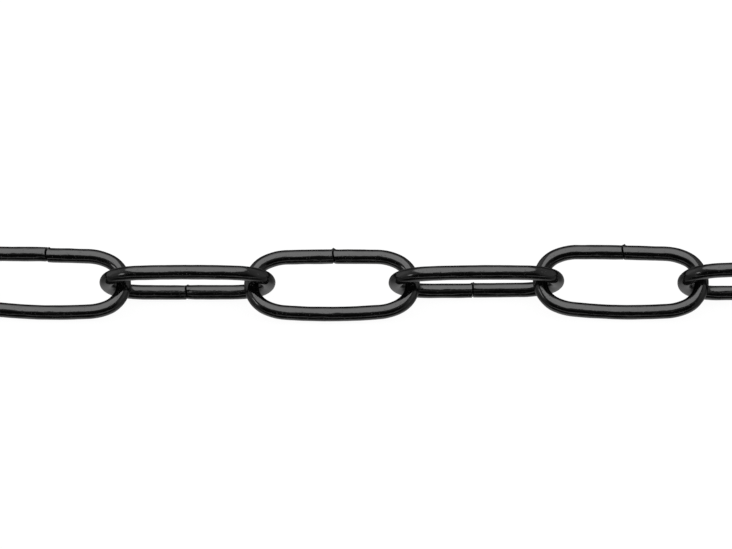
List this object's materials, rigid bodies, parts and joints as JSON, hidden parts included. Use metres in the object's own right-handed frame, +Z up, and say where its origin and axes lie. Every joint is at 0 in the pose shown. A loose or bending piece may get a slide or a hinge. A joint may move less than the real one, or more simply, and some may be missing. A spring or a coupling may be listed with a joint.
{
  "type": "long-link chain",
  "caption": "Straight length of black lacquered long-link chain in round steel wire, each link bent to an oval with its ends butted together, unwelded.",
  "frame": {"origin": "middle of the chain's footprint on the floor", "axes": "+X along the chain, +Z up, +Y away from the side that the picture shows"},
  "size_m": [1.0018, 0.0137, 0.0131],
  "materials": {
    "black_lacquer": "deep black gloss lacquer on drawn steel wire, with fine pits and flecks"
  },
  "bodies": {
    "link_01": {"link_01": "black_lacquer"},
    "link_02": {"link_02": "black_lacquer"},
    "link_03": {"link_03": "black_lacquer"},
    "link_04": {"link_04": "black_lacquer"},
    "link_05": {"link_05": "black_lacquer"},
    "link_06": {"link_06": "black_lacquer"},
    "link_07": {"link_07": "black_lacquer"},
    "link_08": {"link_08": "black_lacquer"},
    "link_09": {"link_09": "black_lacquer"},
    "link_10": {"link_10": "black_lacquer"},
    "link_11": {"link_11": "black_lacquer"},
    "link_12": {"link_12": "black_lacquer"},
    "link_13": {"link_13": "black_lacquer"},
    "link_14": {"link_14": "black_lacquer"},
    "link_15": {"link_15": "black_lacquer"},
    "link_16": {"link_16": "black_lacquer"},
    "link_17": {"link_17": "black_lacquer"},
    "link_18": {"link_18": "black_lacquer"},
    "link_19": {"link_19": "black_lacquer"},
    "link_20": {"link_20": "black_lacquer"},
    "link_21": {"link_21": "black_lacquer"},
    "link_22": {"link_22": "black_lacquer"},
    "link_23": {"link_23": "black_lacquer"},
    "link_24": {"link_24": "black_lacquer"},
    "link_25": {"link_25": "black_lacquer"},
    "link_26": {"link_26": "black_lacquer"},
    "link_27": {"link_27": "black_lacquer"},
    "link_28": {"link_28": "black_lacquer"},
    "link_29": {"link_29": "black_lacquer"},
    "link_30": {"link_30": "black_lacquer"},
    "link_31": {"link_31": "black_lacquer"},
    "link_32": {"link_32": "black_lacquer"},
    "link_33": {"link_33": "black_lacquer"},
    "link_34": {"link_34": "black_lacquer"}
  },
  "joints": [
    {"name": "link_18_swing", "type": "hinge", "parent": "link_17", "child": "link_18", "pos_m": [0.00171, -0.00029, 0.0056], "axis": [-0.008, 0.766, 0.6428], "range_deg": [-140, 140]},
    {"name": "link_16_swing", "type": "hinge", "parent": "link_17", "child": "link_16", "pos_m": [-0.03099, -0.00063, 0.0056], "axis": [-0.008, 0.766, 0.6428], "range_deg": [-140, 140]},
    {"name": "link_19_swing", "type": "hinge", "parent": "link_18", "child": "link_19", "pos_m": [0.03098, 0.00029, 0.00602], "axis": [-0.0127, 0.6638, -0.7478], "range_deg": [-140, 140]},
    {"name": "link_15_swing", "type": "hinge", "parent": "link_16", "child": "link_15", "pos_m": [-0.06027, -0.00061, 0.00618], "axis": [0, 0.6361, -0.7716], "range_deg": [-140, 140]},
    {"name": "link_20_swing", "type": "hinge", "parent": "link_19", "child": "link_20", "pos_m": [0.06024, -0.00093, 0.00623], "axis": [-0.0256, -0.666, -0.7455], "range_deg": [-140, 140]},
    {"name": "link_14_swing", "type": "hinge", "parent": "link_15", "child": "link_14", "pos_m": [-0.08951, 0.00101, 0.00567], "axis": [-0.0395, -0.7537, -0.6561], "range_deg": [-140, 140]},
    {"name": "link_21_swing", "type": "hinge", "parent": "link_20", "child": "link_21", "pos_m": [0.0895, 0.00022, 0.00643], "axis": [0.0205, -0.5874, 0.809], "range_deg": [-140, 140]},
    {"name": "link_13_swing", "type": "hinge", "parent": "link_14", "child": "link_13", "pos_m": [-0.11878, 0.00011, 0.00587], "axis": [0.018, -0.6881, 0.7254], "range_deg": [-140, 140]},
    {"name": "link_22_swing", "type": "hinge", "parent": "link_21", "child": "link_22", "pos_m": [0.11878, 0.0007, 0.00609], "axis": [-0.012, 0.6882, 0.7254], "range_deg": [-140, 140]},
    {"name": "link_12_swing", "type": "hinge", "parent": "link_13", "child": "link_12", "pos_m": [-0.14806, 0.00048, 0.00584], "axis": [0.0076, 0.7279, 0.6856], "range_deg": [-140, 140]},
    {"name": "link_23_swing", "type": "hinge", "parent": "link_22", "child": "link_23", "pos_m": [0.14806, 0.00095, 0.00591], "axis": [-0.0062, 0.6811, -0.7322], "range_deg": [-140, 140]},
    {"name": "link_11_swing", "type": "hinge", "parent": "link_12", "child": "link_11", "pos_m": [-0.17734, 0.00019, 0.00583], "axis": [-0.0059, 0.6947, -0.7193], "range_deg": [-140, 140]},
    {"name": "link_24_swing", "type": "hinge", "parent": "link_23", "child": "link_24", "pos_m": [0.17734, 0.00083, 0.00578], "axis": [-0.0024, -0.737, -0.6759], "range_deg": [-140, 140]},
    {"name": "link_10_swing", "type": "hinge", "parent": "link_11", "child": "link_10", "pos_m": [-0.20662, 0.00028, 0.00592], "axis": [-0.0016, -0.7138, -0.7003], "range_deg": [-140, 140]},
    {"name": "link_25_swing", "type": "hinge", "parent": "link_24", "child": "link_25", "pos_m": [0.20662, 0.0007, 0.00594], "axis": [-0.003, -0.6773, 0.7357], "range_deg": [-140, 140]},
    {"name": "link_09_swing", "type": "hinge", "parent": "link_10", "child": "link_09", "pos_m": [-0.2359, 0.00044, 0.00579], "axis": [-0.0037, -0.6997, 0.7144], "range_deg": [-140, 140]},
    {"name": "link_26_swing", "type": "hinge", "parent": "link_25", "child": "link_26", "pos_m": [0.2359, 0.00101, 0.00583], "axis": [-0.007, 0.729, 0.6845], "range_deg": [-140, 140]},
    {"name": "link_08_swing", "type": "hinge", "parent": "link_09", "child": "link_08", "pos_m": [-0.26518, 0.00012, 0.00588], "axis": [-0.0072, 0.7207, 0.6932], "range_deg": [-140, 140]},
    {"name": "link_27_swing", "type": "hinge", "parent": "link_26", "child": "link_27", "pos_m": [0.26517, 0.00069, 0.00583], "axis": [0.0068, 0.6936, -0.7203], "range_deg": [-140, 140]},
    {"name": "link_07_swing", "type": "hinge", "parent": "link_08", "child": "link_07", "pos_m": [-0.29445, 0.00043, 0.0059], "axis": [0.0065, 0.684, -0.7295], "range_deg": [-140, 140]},
    {"name": "link_28_swing", "type": "hinge", "parent": "link_27", "child": "link_28", "pos_m": [0.29445, 0.00086, 0.00592], "axis": [0.0035, -0.7142, -0.6999], "range_deg": [-140, 140]},
    {"name": "link_06_swing", "type": "hinge", "parent": "link_07", "child": "link_06", "pos_m": [-0.32373, 0.00029, 0.00579], "axis": [0.0029, -0.7359, -0.677], "range_deg": [-140, 140]},
    {"name": "link_29_swing", "type": "hinge", "parent": "link_28", "child": "link_29", "pos_m": [0.32373, 0.00093, 0.00579], "axis": [0.0019, -0.7002, 0.714], "range_deg": [-140, 140]},
    {"name": "link_05_swing", "type": "hinge", "parent": "link_06", "child": "link_05", "pos_m": [-0.35301, 0.00018, 0.00595], "axis": [0.0024, -0.676, 0.7369], "range_deg": [-140, 140]},
    {"name": "link_30_swing", "type": "hinge", "parent": "link_29", "child": "link_30", "pos_m": [0.35301, 0.00065, 0.00588], "axis": [0.0063, 0.7197, 0.6942], "range_deg": [-140, 140]},
    {"name": "link_04_swing", "type": "hinge", "parent": "link_05", "child": "link_04", "pos_m": [-0.38229, 0.00048, 0.00581], "axis": [0.0068, 0.7318, 0.6815], "range_deg": [-140, 140]},
    {"name": "link_31_swing", "type": "hinge", "parent": "link_30", "child": "link_31", "pos_m": [0.38229, 0.00099, 0.00589], "axis": [-0.0071, 0.6851, -0.7284], "range_deg": [-140, 140]},
    {"name": "link_03_swing", "type": "hinge", "parent": "link_04", "child": "link_03", "pos_m": [-0.41157, 0.00015, 0.00585], "axis": [-0.007, 0.6905, -0.7233], "range_deg": [-140, 140]},
    {"name": "link_32_swing", "type": "hinge", "parent": "link_31", "child": "link_32", "pos_m": [0.41157, 0.00077, 0.00579], "axis": [-0.0047, -0.7354, -0.6776], "range_deg": [-140, 140]},
    {"name": "link_02_swing", "type": "hinge", "parent": "link_03", "child": "link_02", "pos_m": [-0.44085, 0.00034, 0.00591], "axis": [-0.004, -0.7158, -0.6983], "range_deg": [-140, 140]},
    {"name": "link_33_swing", "type": "hinge", "parent": "link_32", "child": "link_33", "pos_m": [0.44085, 0.00076, 0.00595], "axis": [-0.0006, -0.6758, 0.7371], "range_deg": [-140, 140]},
    {"name": "link_01_swing", "type": "hinge", "parent": "link_02", "child": "link_01", "pos_m": [-0.47013, 0.00033, 0.00574], "axis": [0, -0.7071, 0.7071], "range_deg": [-140, 140]},
    {"name": "link_34_swing", "type": "hinge", "parent": "link_33", "child": "link_34", "pos_m": [0.47013, 0.00076, 0.00595], "axis": [0, 0.7071, 0.7071], "range_deg": [-140, 140]}
  ]
}
